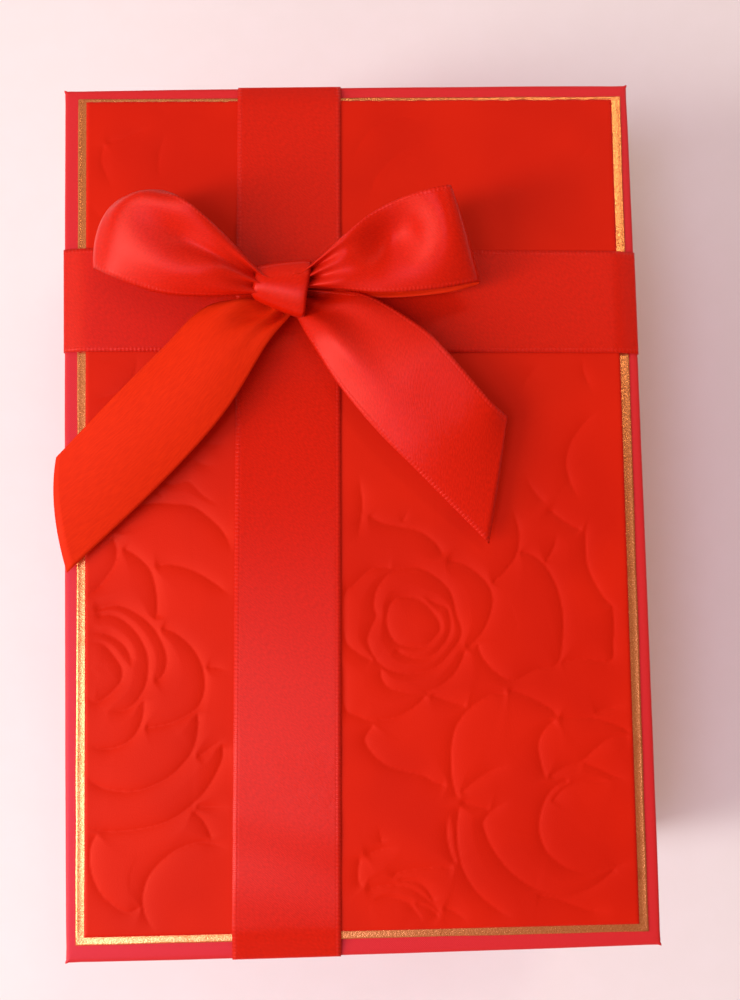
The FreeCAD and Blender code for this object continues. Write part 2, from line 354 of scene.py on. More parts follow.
def addPiece(name, points, faces, materials, uvs=None):
    mesh = bpy.data.meshes.new(name)
    mesh.from_pydata([tuple(p) for p in points], [], faces)
    if uvs is not None:
        layer = mesh.uv_layers.new(name="flat")
        corner = [0] * len(mesh.loops)
        mesh.loops.foreach_get("vertex_index", corner)
        layer.data.foreach_set("uv", [c for i in corner for c in uvs[i]])
    for material in materials:
        mesh.materials.append(finishes[material])
    mesh.polygons.foreach_set("use_smooth", [True] * len(mesh.polygons))
    mesh.validate()
    mesh.update()
    thing = bpy.data.objects.new(name, mesh)
    bpy.context.scene.collection.objects.link(thing)
    return thing


def gridFaces(rows, columns, wrap=False):
    across = columns if wrap else columns - 1
    return [(r * columns + c, r * columns + (c + 1) % columns,
             (r + 1) * columns + (c + 1) % columns, (r + 1) * columns + c)
            for r in range(rows - 1) for c in range(across)]


def gridRim(rows, columns):
    # the points once round the edge of a grid
    return (list(range(columns)) + [r * columns + columns - 1 for r in range(1, rows)]
            + [(rows - 1) * columns + c for c in range(columns - 2, -1, -1)]
            + [r * columns for r in range(rows - 2, 0, -1)])


def smoothLine(points, steps):
    # Catmull-Rom line through the points, steps to each span
    points = [Vector(p) for p in points]
    made = []
    for i in range(len(points) - 1):
        b, c = points[i], points[i + 1]
        a = points[i - 1] if i else b * 2 - c
        d = points[i + 2] if i + 2 < len(points) else c * 2 - b
        for step in range(steps):
            t = step / steps
            made.append(0.5 * (2 * b + (c - a) * t + (2 * a - 5 * b + 4 * c - d) * t * t
                               + (3 * b - a - 3 * c + d) * t ** 3))
    return made + [points[-1]]


def wobble(x, y, z=0.0, scale=1.0):
    return noise.noise(Vector((x, y, z)) * scale)


paperEdges = {
    "corner": 1.15, "sharpest": 0.05, "cornerSteps": 8, "sideStep": 2.5, "sag": -0.3, "sagFrom": 0.35,
    "ear": 0.75, "earWidth": 0.16, "ripple": 0.05, "rippleScale": 0.06,
}


def boxOutline(halfWidth, halfLength, inset, edges, lift):
    # points round a rounded rectangle; lift is how much of its bowed sides and of the little
    # paper ears at its corners shows
    radius = max(edges["corner"] - inset, edges["sharpest"])
    w, l = halfWidth - inset, halfLength - inset
    line = []
    corners = [(w, l, 0), (-w, l, 90), (-w, -l, 180), (w, -l, 270)]
    for index, (cx, cy, start) in enumerate(corners):
        mx, my = cx - math.copysign(radius, cx), cy - math.copysign(radius, cy)
        for step in range(edges["cornerSteps"] + 1):
            share = step / edges["cornerSteps"]
            angle = math.radians(start + 90 * share)
            out = radius + lift * edges["ear"] * math.exp(-((share - 0.5) / edges["earWidth"]) ** 2)
            line.append((mx + out * math.cos(angle), my + out * math.sin(angle)))
        nx, ny, _ = corners[(index + 1) % 4]
        nmx, nmy = nx - math.copysign(radius, nx), ny - math.copysign(radius, ny)
        turn = math.radians(start + 90)
        ox, oy = math.cos(turn), math.sin(turn)
        count = int(2 * (halfWidth if index % 2 == 0 else halfLength) / edges["sideStep"])
        for step in range(1, count):
            share = step / count
            bow = edges["sag"] * lift * (math.sin(math.pi * share) ** 0.5 - edges["sagFrom"])
            x = mx + (nmx - mx) * share + ox * (radius - bow)
            y = my + (nmy - my) * share + oy * (radius - bow)
            line.append((x, y))
    return line


def wrappedPaper(name, node, half, levels, capped):
    # levels: (inset, height, lift) from one end of the paper to the other, mm; a capped one is
    # closed across its last level
    rings = [boxOutline(half[0], half[1], inset, paperEdges, lift) for inset, height, lift in levels]
    points = []
    for ring, (inset, height, lift) in zip(rings, levels):
        ripple = paperEdges["ripple"] if inset < 1 else 0      # only the outside ripples
        for x, y in ring:
            shake = ripple * wobble(x, y, height, paperEdges["rippleScale"])
            points.append(Vector((x + shake, y + shake, height)) * mm)
    columns = len(rings[0])
    faces = gridFaces(len(rings), columns, True)
    if capped:
        faces.append(tuple((len(rings) - 1) * columns + c for c in range(columns)))
    thing = addPiece(name, points, faces, ["wrapPaper"])
    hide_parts(node)
    return thing


# Each turn of the paper over an edge is a list of how far in and how far above that edge it
# lies, in mm; at the lid's upper edge the third value is the lift.
lidPaper = {
    "half": (70.0, 105.0), "wall": 2.7, "insideTo": -2.75,
    "lowerEdge": [(2.7, 0.6), (2.55, 0.1), (2.2, 0), (0.6, 0), (0.15, 0.15), (0, 0.6)],
    "rows": 7, "rowsFrom": 3, "rowStep": 4,
    "upperEdge": [(0, -2.5, 0.3), (0, -1.0, 0.8), (0.1, -0.5, 1), (0.32, -0.17, 1), (0.7, -0.03, 0.7),
                  (1.3, 0, 0.4), (2.6, 0, 0), (6.0, -0.02, 0)],
}
basePaper = {
    "lowerEdge": [(18.3, 0), (0.7, 0), (0.2, 0.15), (0, 0.7)],
    "rows": 10, "rowsFrom": 4, "rowStep": 8,
    "upperEdge": [(0, -0.6), (0.12, -0.2), (0.5, -0.02), (1.4, 0), (2.3, -0.04), (2.6, -0.2), (2.7, -0.6),
                  (2.7, -19.9), (2.36, -20)],
}


def wallRows(look, bottom):
    return [(0, bottom + look["rowsFrom"] + look["rowStep"] * i, 0) for i in range(look["rows"])]


def makeLidWrap(look):
    top, bottom = lidHigh[2] / mm, lidLow[2] / mm
    levels = [(look["wall"], top + look["insideTo"], 0)]
    levels += [(inset, bottom + rise, 0) for inset, rise in look["lowerEdge"]] + wallRows(look, bottom)
    levels += [(inset, top + rise, lift) for inset, rise, lift in look["upperEdge"]]
    piece = wrappedPaper("lidWrapPaper", "lid_wrap", look["half"], levels, True)
    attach(piece, "lid")


def makeBaseWrap(look):
    top, bottom = baseHigh[2] / mm, baseLow[2] / mm
    half = (baseHigh[0] / mm, baseHigh[1] / mm)
    levels = [(inset, bottom + rise, 0) for inset, rise in look["lowerEdge"]] + wallRows(look, bottom)
    levels += [(inset, top + rise, 0) for inset, rise in look["upperEdge"]]
    piece = wrappedPaper("baseWrapPaper", "base_wrap", half, levels, False)
    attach(piece, "base")


makeLidWrap(lidPaper)
makeBaseWrap(basePaper)
print("paper wrapped over lid and base")


goldCard = {
    "size": (134.6, 203.4), "centre": (0.25, 0.5), "turn": -0.3, "sideSteps": 60,
    "wave": 0.12, "waveScale": 0.08,
    # from the edge inwards: how far in, and how high over the card's top
    "edge": [(0, -0.08), (0.08, 0), (0.2, 0.05), (0.5, 0.02), (0.9, -0.05), (1.6, -0.05), (4, -0.04)],
}


def turned(x, y, centre, degrees):
    c, s = math.cos(math.radians(degrees)), math.sin(math.radians(degrees))
    return centre[0] + x * c - y * s, centre[1] + x * s + y * c


def makeGoldCard(look):
    low, high = (corner[2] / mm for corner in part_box("gold_card"))
    w, l = look["size"][0] / 2, look["size"][1] / 2
    profile = [(0, low)] + [(inset, high + rise) for inset, rise in look["edge"]]
    steps = look["sideSteps"]
    points = []
    for inset, height in profile:
        x0, y0 = w - inset, l - inset
        corners = [(x0, y0), (-x0, y0), (-x0, -y0), (x0, -y0)]
        for (ax, ay), (bx, by) in zip(corners, corners[1:] + corners[:1]):
            for step in range(steps):
                x, y = ax + (bx - ax) * step / steps, ay + (by - ay) * step / steps
                shake = look["wave"] * wobble(x * look["waveScale"], y * look["waveScale"], 3.0)
                x, y = turned(x + shake, y + shake, look["centre"], look["turn"])
                points.append(Vector((x, y, height)) * mm)
    faces = gridFaces(len(profile), 4 * steps, True)
    piece = addPiece("goldFoilCard", points, faces, ["goldFoil"])
    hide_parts("gold_card")
    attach(piece, "lid")


makeGoldCard(goldCard)
print("gold card laid on the lid")


roseCard = {
    "size": (130.0, 200.4), "centre": (0.15, 1.0), "turn": -0.3, "cell": 0.34,
    "groove": 0.43, "inner": 1.9, "outer": 1.6, "rimSteps": 6,     # a rim's depth, and how soft each side is
    "tilt": 0.12, "tiltFade": 7.0, "tiltMost": 0.22,               # the step up on the flower's side
    "reach": 17.5,                                                 # nothing is pressed further from a rim
    "endFade": 6.0, "meetFade": 1.8, "meets": 1.6, "ends": -0.4,   # how rims die away at their ends
    "lowest": -0.45, "highest": 0.6, "byRibbon": (-0.4, 1.2),      # the card is flat under the ribbons
    "edgeDip": 0.22, "edgeWidth": 0.35,
    # the top edge is torn a little, in long and short tears (how close, which, how deep) and a notch
    "ragged": 0.5, "tears": [(0.35, 1.7, 0.6), (1.7, 4.2, 0.4)],
    "notch": 0.7, "notchAt": -31.0, "notchWidth": 0.5,
}

# Each flower is the point its petals curl round, then the rims of the petals as they
# show on the card, in millimetres. The card stands higher on the flower's side of a rim.
flowers = {
    "leftRose": ((-60.5, -37.5), [
        [(-64.4, -30.8), (-60.6, -31.4), (-57.2, -35.6), (-56.4, -38.3), (-57.5, -41.1), (-62.2, -44.7),
         (-65.3, -42.2)],
        [(-64.7, -28.6), (-60, -28.9), (-55.8, -31.7), (-54.2, -35.6), (-54.7, -38.3)],
        [(-62.8, -24.4), (-57.8, -24.7), (-53.3, -28.3), (-50.6, -33.3), (-50.3, -38.3), (-51.7, -42.8),
         (-55, -46.4), (-60.8, -46.7)],
        [(-63, -23.3), (-57.8, -22.2), (-53.3, -23.9), (-49.4, -27.2), (-46.7, -31.7), (-45.9, -35.6),
         (-46.9, -38.9), (-49.2, -40.6)],
        [(-51.4, -43.9), (-51.7, -48.9), (-54.4, -53.6), (-59.4, -55.6), (-65, -54.7)],
        [(-47.5, -27.5), (-43.3, -29.4), (-39.4, -33.3), (-37.2, -38.3), (-37.2, -43.3), (-39.4, -47.2),
         (-45, -50), (-51.7, -51.1)],
        [(-38.9, -47.2), (-38.6, -51.1), (-40, -56.7), (-44.4, -61.7), (-50, -64.7), (-55.6, -65.6),
         (-61.7, -64.2), (-65.6, -60.8)],
        [(-32.8, -55), (-33.3, -59.4), (-36.7, -65.6), (-40.6, -69.4), (-46.1, -72.8), (-53.3, -74.4),
         (-60, -74.7), (-65, -73.6)],
        [(-56.7, -8.1), (-52.8, -10.6), (-49.7, -13.9), (-48.3, -18.9), (-48.1, -23.3), (-48.6, -26.1)],
        [(-58.3, -5.3), (-57.2, -9.4), (-58.3, -13.3), (-61.7, -17.8), (-65.3, -20.6)],
        [(-48.9, -13.3), (-45, -12.8), (-39.4, -14.4), (-33.9, -17.8), (-30, -21.1)],
        [(-58.6, -4.4), (-54, 0.5), (-48.9, 1.9), (-43.4, 1.6), (-38.9, 0.8), (-34.4, -2.8), (-31.7, -6.1),
         (-30, -10.6)],
        [(-37.2, -37.2), (-33.9, -37.5), (-30.6, -38.6)],
        [(-39.4, -58.6), (-31.7, -53.3)],
        [(-40, -69.4), (-30.6, -69.7)],
    ]),
    "lowerPetals": ((-50, -80), [
        [(-40.6, -70.3), (-37.8, -72.8), (-36.1, -76.1), (-35.6, -78)],
        [(-61.9, -75), (-63.6, -78.3), (-63.6, -83.3), (-61.7, -88.3), (-58.3, -91.7), (-55, -93.3),
         (-51.7, -91.7)],
    ]),
    "roundPetal": ((-38, -94), [
        [(-31.1, -80), (-35.6, -78.4), (-38.9, -78), (-44.4, -80), (-49.4, -84.4), (-51.4, -88.9),
         (-51.1, -93.9), (-48.3, -98.6)],
    ]),
    "middleRose": ((13.5, -27.5), [
        [(11.9, -21.7), (15, -22.8), (17.8, -25.6), (19.4, -28.9), (18.3, -31.1), (15.6, -33.3),
         (11.1, -33.3), (8.3, -31.7), (6.8, -27.8), (7.5, -23.9), (9.4, -21.9), (11.9, -21.7)],
        [(13.3, -20.3), (18.3, -23.3), (21.4, -25), (21.7, -30), (19.4, -33.9), (16.1, -36.1), (11.1, -35.6),
         (8.3, -33.3)],
        [(5, -18.9), (8.3, -15.6), (13.3, -14.7), (17.2, -16.1), (21.1, -19.4), (22.5, -22.2), (23.3, -26.1),
         (24.4, -30.6), (22.2, -34.4), (18.3, -38.3), (13.3, -39.7), (8.3, -39.2), (4.4, -36.7), (2.2, -32.2),
         (3.1, -28.9), (4.4, -26.1), (3.9, -23.9), (4.2, -21.1), (5, -18.9)],
        [(5.3, -37.8), (5.3, -40.6), (7.2, -43.1), (11.7, -44.2), (16.7, -43.9), (21.1, -41.4), (23.9, -37.8),
         (25.3, -33.9)],
        [(21.1, -13.1), (25.6, -14.4), (29.4, -17.2), (31.7, -20.6), (31.9, -24.4), (30, -29.4),
         (27.2, -32.8), (25, -34.2)],
        [(8.9, -15), (6.1, -14.7), (3.3, -15), (0, -17.8), (-3.6, -22), (-3.3, -31), (0, -34.7), (4, -36.8)],
        [(-3.9, -35.6), (-3.9, -46.7), (0, -49.7), (3.3, -50.6), (8.9, -49.7), (13.3, -47.2), (16.1, -44.4)],
        [(2.2, -1.7), (6.1, -3.9), (10.6, -5), (15, -6.1), (18.9, -9.2), (20.6, -12.5)],
        [(10.6, -4.7), (13.3, 0)],
        [(37, 0), (38.9, -6.1), (38.3, -11.7), (35.6, -15.6), (31.7, -19.2)],
        [(38.3, -11.4), (41.7, -12.2), (45, -15), (47.8, -20.6), (48.9, -27.2), (48.6, -32.8), (47.2, -38.3),
         (42.2, -39.4), (36.7, -41.9), (32.8, -40), (29.4, -36.1), (28.3, -32.2)],
        [(48.3, -6.1), (47.2, -10.6), (44.7, -14.7)],
        [(0.9, 8.4), (1.6, 0), (0.1, -8.7)],
        [(16.1, -44.4), (21.1, -46.4), (26.1, -48.1)],
    ]),
    "rightPetals": ((70, -10), [
        [(56.7, -3.1), (55.6, -6.1), (55.3, -12.2), (56.1, -16.7), (58.9, -22.2), (61.7, -25.3),
         (64.7, -27.2)],
        [(60.8, -24.4), (61.1, -28.9), (60.8, -33.3), (60, -37.8), (53.3, -37.2), (47.2, -38.3)],
        [(46.1, -0.6), (50, -3.9), (55, -6.9)],
        [(61.1, -3.9), (65, -6.1)],
        [(60, 22.8), (56.1, 19.4), (52.8, 15), (51.4, 10), (52.2, 5), (54.4, 0.6)],
        [(56.1, 36.1), (56.4, 32.2), (58.9, 26.1)],
        [(41.1, 27.2), (42.8, 31.1), (46.7, 35)],
        [(41.1, 7.8), (42.8, 3.9), (46.1, 0)],
    ]),
    "bloom": ((53, -75), [
        [(50, -65.6), (46.1, -67.2), (43.3, -70.6), (41.8, -76.1), (42.8, -81.1), (45.6, -84.4),
         (49.4, -86.6), (54.4, -86.9), (60, -85.8), (63.9, -84.7)],
        [(44.5, -71.5), (48, -67.8), (52.5, -66.3), (57.5, -66.4), (61.5, -67.5)],
        [(35.6, -70), (31.1, -72.2), (28.9, -74.4), (28.6, -76.1), (30, -80), (32.8, -84.4), (36.7, -88.3),
         (41.7, -91.1), (47.2, -92.5), (52.8, -91.1), (57.2, -88.3), (60, -85.8)],
        [(23.1, -70.8), (22.3, -76.1), (22.5, -81.7), (23.9, -86.7), (26.7, -91.1), (31.1, -95),
         (35.6, -97.5)],
        [(20.8, -71.7), (19.9, -76.7), (20.6, -81.7), (22.2, -85)],
        [(40, -91.7), (46.1, -93.3), (52.8, -95.8), (58.9, -96.4)],
        [(34.7, -44.2), (38.9, -45.6), (42.2, -47.2), (45.6, -49.4), (46.9, -51.4)],
        [(35.6, -45.3), (31.1, -45.6), (26.7, -48.1), (23.3, -51.7), (21.7, -56.1), (21.3, -62.2),
         (21.9, -66.7), (22.8, -69.7)],
        [(46.9, -51.4), (43.9, -53.9), (42.3, -57.2), (42.8, -61.7), (43.9, -65.6)],
        [(46.9, -51.4), (54.4, -51.4), (58.9, -52.5), (62.2, -53.9), (64.7, -55.8)],
        [(55.3, -50.8), (58.9, -49.4), (64.7, -48.9)],
        [(43.9, -65.6), (48.3, -62.8), (52.2, -61.7), (55.6, -58.9), (59.4, -56.4), (64.7, -56)],
        [(51.7, -61.4), (56.1, -63.3), (60, -65.3), (64.7, -66.7)],
        [(22.8, -68.9), (26.7, -65.6), (31.1, -63.1), (35.6, -61.9)],
        [(22.8, -69.7), (27.8, -71.4), (31.1, -72.2)],
        [(3.6, -51.1), (1.1, -55), (2.8, -58.3), (6.1, -61.1), (11.1, -62.8), (14.4, -63.6), (17.2, -65.3),
         (20.6, -66.4)],
    ]),
    "smallRose": ((2, -95), [
        [(0, -82.2), (4.4, -80.8), (9, -80.8)],
        [(3.3, -74.7), (4.4, -80)],
        [(-0.6, -81.6), (-1.3, -87.3), (0, -89.4)],
        [(6.7, -88), (7.8, -86.4), (12.2, -85.6), (17.8, -85.3), (21.7, -85.8)],
        [(7.2, -88), (11.7, -88.3), (14.4, -90), (16.7, -93.9)],
        [(0, -90), (6, -89), (11.1, -90), (16.1, -93.9), (19.4, -98.3)],
        [(17.8, -94.2), (21.7, -96.1), (24.4, -98.9)],
        [(0, -92.8), (5.6, -91.9), (10, -93.1), (12.2, -95.6), (13.9, -98.9)],
        [(11.1, -93.3), (15, -94.4), (17.8, -97.2)],
        [(4.4, -98.9), (6.1, -98.1)],
    ]),
    "cornerPetals": ((-75, 85), [
        [(-60, 91.1), (-60.6, 88.9), (-60.8, 86.1), (-59.7, 82.8), (-57.8, 78.9)],
        [(-60, 91.1), (-55.6, 91.7), (-51.7, 93.3), (-47.8, 94.4)],
        [(-44.4, 93.9), (-46.1, 90.6), (-46.9, 87.2), (-46.9, 83.9), (-45.6, 81.1)],
        [(-48.9, 99.4), (-45.6, 98.9), (-45, 96.7)],
        [(-62.8, 91.7), (-60, 95.3)],
        [(-64.2, 76.1), (-60, 70.6)],
    ]),
    "leftPetals": ((-62, 33), [
        [(-62.8, 38.3), (-64.2, 35.6)],
        [(-53.3, 38.9), (-52.5, 36.1), (-53.9, 32.2), (-57.8, 28.9), (-63.9, 27.2)],
        [(-37.8, 16.7), (-33.3, 16.1), (-30, 16.7)],
        [(-40.6, 13.9), (-36.7, 11.4), (-32.2, 11.1)],
        [(-47.8, 7.5), (-43.9, 6.7), (-40, 7.2), (-36.7, 3.9), (-31.7, 0.6)],
        [(-48.3, 6.1), (-45.6, 2.8)],
    ]),
    "faintRose": ((22, 80), [
        [(0.6, 85), (3.3, 90.6), (7.2, 94.4), (13.3, 96.4), (18.9, 95.3)],
        [(5, 75), (5.6, 78.9), (7.2, 82.2), (11.7, 86.7), (16.1, 88.9), (23.3, 90)],
        [(11.7, 81.7), (13.3, 84.4), (18.3, 87.2)],
        [(35.6, 86.1), (42.2, 86.9)],
        [(35.6, 79.4), (42.2, 77.8), (46.1, 75.8)],
        [(59.4, 91.1), (58.9, 88.3), (55.6, 83.9)],
    ]),
}
flowerDepth = {"faintRose": 0.5, "cornerPetals": 0.6, "leftPetals": 0.6, "leftRose": 1.15}


def smoothStep(values, low, high):
    t = np.clip((values - low) / (high - low), 0, 1)
    return t * t * (3 - 2 * t)


def rimLine(rim, steps):
    return np.array([(p.x, p.y) for p in smoothLine([(x, y, 0) for x, y in rim], steps)])


def endsMeet(line, others, look):
    # for each end of a rim, whether it runs into another rim
    return [min(np.hypot(*(other - end).T).min() for other in others) < look["meets"]
            for end in (line[0], line[-1])]


def pressPetal(grooves, tilts, px, py, line, others, heart, depth, look):
    # presses one rim: a groove that is soft on both sides, with the flower's side a little higher
    reach = look["reach"]
    near = np.nonzero((px > line[:, 0].min() - reach) & (px < line[:, 0].max() + reach)
                      & (py > line[:, 1].min() - reach) & (py < line[:, 1].max() + reach))[0]
    if not len(near):
        return
    starts, runs = line[:-1], line[1:] - line[:-1]
    toHeart = (runs[:, 0] * (heart[1] - starts[:, 1]) - runs[:, 1] * (heart[0] - starts[:, 0])).sum()
    lengths = np.hypot(runs[:, 0], runs[:, 1])
    passed = np.concatenate([[0], np.cumsum(lengths)])
    nearest = np.full(len(near), np.inf)
    side = np.zeros(len(near))
    along = np.zeros(len(near))
    for start, run, length, before in zip(starts, runs, lengths, passed):
        dx, dy = px[near] - start[0], py[near] - start[1]
        share = np.clip((dx * run[0] + dy * run[1]) / length ** 2, 0, 1)
        away = np.hypot(dx - share * run[0], dy - share * run[1])
        closer = away < nearest - 1e-9
        turn = (run[0] * dy - run[1] * dx) * math.copysign(1, toHeart)
        nearest[closer] = away[closer]
        side[closer] = np.sign(turn)[closer]
        along[closer] = (before + share * length)[closer]
    window = 1.0
    if math.dist(line[0], line[-1]) > 0.1:      # a rim that closes on itself has no ends
        for fromEnd, meets in zip((along, passed[-1] - along), endsMeet(line, others, look)):
            fade = look["meetFade"] if meets else look["endFade"]
            window = window * smoothStep(fromEnd, look["ends"], fade)
    dip = np.exp(-nearest / np.where(nearest * side > 0, look["inner"], look["outer"]))
    grooves[near] = np.minimum(grooves[near], -window * depth * look["groove"] * dip)
    step = np.exp(-nearest / look["tiltFade"]) * (nearest * side > 0)
    tilts[near] += window * depth * look["tilt"] * step


def offRibbons(px, py):
    # how far each point lies from the nearer edge of a ribbon, less than 0 under it
    lean, half = ribbonBands["lean"], ribbonBands["width"] / 2
    offLong = np.abs(px - (ribbonBands["lengthwise"]["at"] + lean * py)) - half
    offCross = np.abs(py - (ribbonBands["crosswise"]["at"] - lean * px)) - half
    return np.minimum(offLong, offCross)


def makeRoseCard(look):
    low, high = (corner[2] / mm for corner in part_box("rose_card"))
    w, l, cell = look["size"][0] / 2, look["size"][1] / 2, look["cell"]
    columns, rows = int(2 * w / cell) + 1, int(2 * l / cell) + 1
    xs, ys = np.meshgrid(np.linspace(-w, w, columns), np.linspace(-l, l, rows))
    xs, ys = xs.ravel(), ys.ravel()
    px, py = turned(xs, ys, look["centre"], look["turn"])
    grooves, tilts = np.zeros(len(px)), np.zeros(len(px))
    lines = [(name, heart, rimLine(rim, look["rimSteps"]))
             for name, (heart, rims) in flowers.items() for rim in rims]
    for name, heart, line in lines:
        others = [other for _, _, other in lines if other is not line]
        pressPetal(grooves, tilts, px, py, line, others, heart, flowerDepth.get(name, 1.0), look)
    height = grooves + look["tiltMost"] * np.tanh(tilts / look["tiltMost"])
    height *= smoothStep(offRibbons(px, py), *look["byRibbon"])
    inset = np.minimum(w - np.abs(xs), l - np.abs(ys))
    height = np.clip(height, look["lowest"], look["highest"])
    height = height - look["edgeDip"] * np.exp(-(inset / look["edgeWidth"]) ** 2)
    top = xs[:columns]
    torn = np.array([sum(abs(wobble(x * close, seed)) * deep for close, seed, deep in look["tears"])
                     for x in top])
    torn += look["notch"] * np.exp(-((top - look["notchAt"]) / look["notchWidth"]) ** 2)
    py += -np.tile(torn, rows) * look["ragged"] * (ys > l - cell * 0.5)
    points = np.column_stack([px, py, high + height]) * mm
    rim = gridRim(rows, columns)
    skirt = points[rim].copy()
    skirt[:, 2] = low * mm
    count = len(points)
    faces = gridFaces(rows, columns)
    faces += [(rim[i], count + i, count + (i + 1) % len(rim), rim[(i + 1) % len(rim)])
              for i in range(len(rim))]
    piece = addPiece("roseReliefCard", np.vstack([points, skirt]), faces, ["rosePaper"])
    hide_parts("rose_card")
    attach(piece, "lid")


ribbonBands = {
    "width": ribbonWidth, "thick": 0.24, "lean": math.tan(math.radians(1.1)),
    "stands": 0.3, "bend": 0.7, "wideBend": 2.2, "mostOfRun": 0.45,      # how it goes over edges
    "turnIn": 18.0, "beyondCard": 0.4, "columns": 27, "step": 1.4,
    "hump": 0.32, "humpBeyond": 0.3, "ramp": 7.0,      # where one lies over the other
    "settle": 6,                                       # the ripples fade out this near the lid's edge
    "crosswise": {"at": 50.6, "ripple": 0.05, "alongScale": 0.05, "acrossScale": 0.05, "seed": 2.0},
    "lengthwise": {"at": -16.4, "ripple": 0.06, "alongScale": 0.04, "acrossScale": 0.06, "seed": 9.0},
    "puckers": {"at": -78, "reach": 22, "high": 0.10, "along": 0.32, "across": 0.09},
}
satinTurn = 50      # metres; how far off along the threads the satin's texture space lies


def clothPiece(name, rows, flatRows, thick, materials, outward):
    # rows: lines of points across the cloth; flatRows: where each lies on the flat cloth, in mm;
    # outward: +1 or -1, the side of (along x across) that carries the first material
    grid = np.array(rows, dtype=float)
    alongStep = np.gradient(grid, axis=0)
    acrossStep = np.gradient(grid, axis=1)
    normals = np.cross(alongStep, acrossStep) * outward
    normals /= np.linalg.norm(normals, axis=2, keepdims=True) + 1e-12
    outer = grid.reshape(-1, 3)
    inner = (grid - normals * thick).reshape(-1, 3)
    count = len(outer)
    faces = gridFaces(*grid.shape[:2])
    if outward > 0:
        faces = [face[::-1] for face in faces]
    back = [tuple(i + count for i in face[::-1]) for face in faces]
    rim = gridRim(*grid.shape[:2])
    edges = [(rim[i], rim[(i + 1) % len(rim)]) for i in range(len(rim))]
    sides = [(b, a, a + count, b + count) if outward < 0 else (a, b, b + count, a + count) for a, b in edges]
    uvs = np.array(flatRows, dtype=float).reshape(-1, 2) * mm
    piece = addPiece(name, np.vstack([outer, inner]) * mm, faces + back + sides, materials,
                     np.vstack([uvs, uvs]))
    kinds = [0] * len(faces) + [1] * len(back) + [0] * len(sides)
    piece.data.polygons.foreach_set("material_index", kinds)
    # satin spreads its shine across the threads, and a texture space far off along them sets that way
    over = (grid[:, -1] - grid[:, 0]).mean(axis=0)
    piece.data.use_auto_texspace = False
    piece.data.texspace_size = (1, 1, 1)
    piece.data.texspace_location = Vector((-over[1], over[0], 0)).normalized() * satinTurn
    return piece


def roundedPath(corners, look, wideCorners):
    # points along straight runs with rounded bends, as (u, z)
    line = [Vector(corners[0])]
    for i in range(1, len(corners) - 1):
        here, before, after = Vector(corners[i]), Vector(corners[i - 1]), Vector(corners[i + 1])
        bend = look["wideBend"] if i in wideCorners else look["bend"]
        most = look["mostOfRun"]
        cut = min(bend, (here - before).length * most, (after - here).length * most)
        enter = here + (before - here).normalized() * cut
        leave = here + (after - here).normalized() * cut
        for t in (0, 0.2, 0.4, 0.6, 0.8, 1):
            line.append(enter * (1 - t) ** 2 + here * 2 * t * (1 - t) + leave * t * t)
    line.append(Vector(corners[-1]))
    full = [line[0]]
    for point in line[1:]:
        pieces = max(1, int((point - full[-1]).length / look["step"]))
        start = full[-1]
        full += [start + (point - start) * (k + 1) / pieces for k in range(pieces)]
    return full


def bandPath(halfSpan, insideHalf, cardEnds, hump):
    bottom, top, card = lidLow[2] / mm, lidTop / mm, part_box("rose_card")[1][2] / mm
    path = [(-insideHalf, bottom + ribbonBands["turnIn"]), (-insideHalf, bottom), (-halfSpan, bottom),
            (-halfSpan, top), (cardEnds[0], card)]
    if hump:
        rise = card + ribbonBands["hump"]
        path += [(hump[0] - ribbonBands["ramp"], card), (hump[0], rise), (hump[1], rise),
                 (hump[1] + ribbonBands["ramp"], card)]
    path += [(cardEnds[1], card), (halfSpan, top), (halfSpan, bottom), (insideHalf, bottom),
             (insideHalf, bottom + ribbonBands["turnIn"])]
    return path


def standOff(path, distance):
    # the path moved to its left by distance
    moved = []
    for i, point in enumerate(path):
        here = Vector(point)
        before, after = Vector(path[max(i - 1, 0)]), Vector(path[min(i + 1, len(path) - 1)])
        runs = [run for run in (here - before, after - here) if run.length]
        normals = [Vector((-run.y, run.x)).normalized() for run in runs]
        mean = sum(normals, Vector((0, 0))) / len(normals)
        moved.append(here + mean * (distance / mean.length_squared))
    return moved


def ripple(way, u, w):
    # how high a band stands off the card, u along it and w across it
    look = ribbonBands[way]
    high = look["ripple"] * (wobble(u * look["alongScale"], w * look["acrossScale"], look["seed"]) + 1)
    if way == "lengthwise":
        pucker = ribbonBands["puckers"]
        deep = pucker["high"] * math.exp(-((u - pucker["at"]) / pucker["reach"]) ** 2)
        high += deep * math.sin(u * pucker["along"] + w * pucker["across"])
    return high


def makeBand(name, node, way, halfSpan, insideHalf, cardEnds, hump):
    look = ribbonBands
    corners = standOff(bandPath(halfSpan, insideHalf, cardEnds, hump), look["stands"])
    path = roundedPath(corners, look, (4, len(corners) - 5))
    at, lean = look[way]["at"], look["lean"]
    rows, flatRows, passed = [], [], 0.0
    for i, point in enumerate(path):
        passed += (point - path[i - 1]).length if i else 0.0
        row, flat = [], []
        for k in range(look["columns"]):
            share = k / (look["columns"] - 1)
            w = (share - 0.5) * look["width"]
            lift = 0.0
            if point.y > lidTop / mm + 0.5:      # on the card, not on the rim of the lid
                lift = ripple(way, point.x, w) * min(1.0, (halfSpan - abs(point.x)) / look["settle"])
            if way == "lengthwise":
                row.append((at + lean * point.x + w, point.x, point.y + lift))
            else:
                row.append((point.x, at - lean * point.x + w, point.y + lift))
            flat.append((passed, share * look["width"]))
        rows.append(row)
        flatRows.append(flat)
    outward = -1 if way == "lengthwise" else 1
    piece = clothPiece(name, rows, flatRows, look["thick"], ["satinFace", "satinBack"], outward)
    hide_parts(node)
    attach(piece, "lid")
    passed * mm


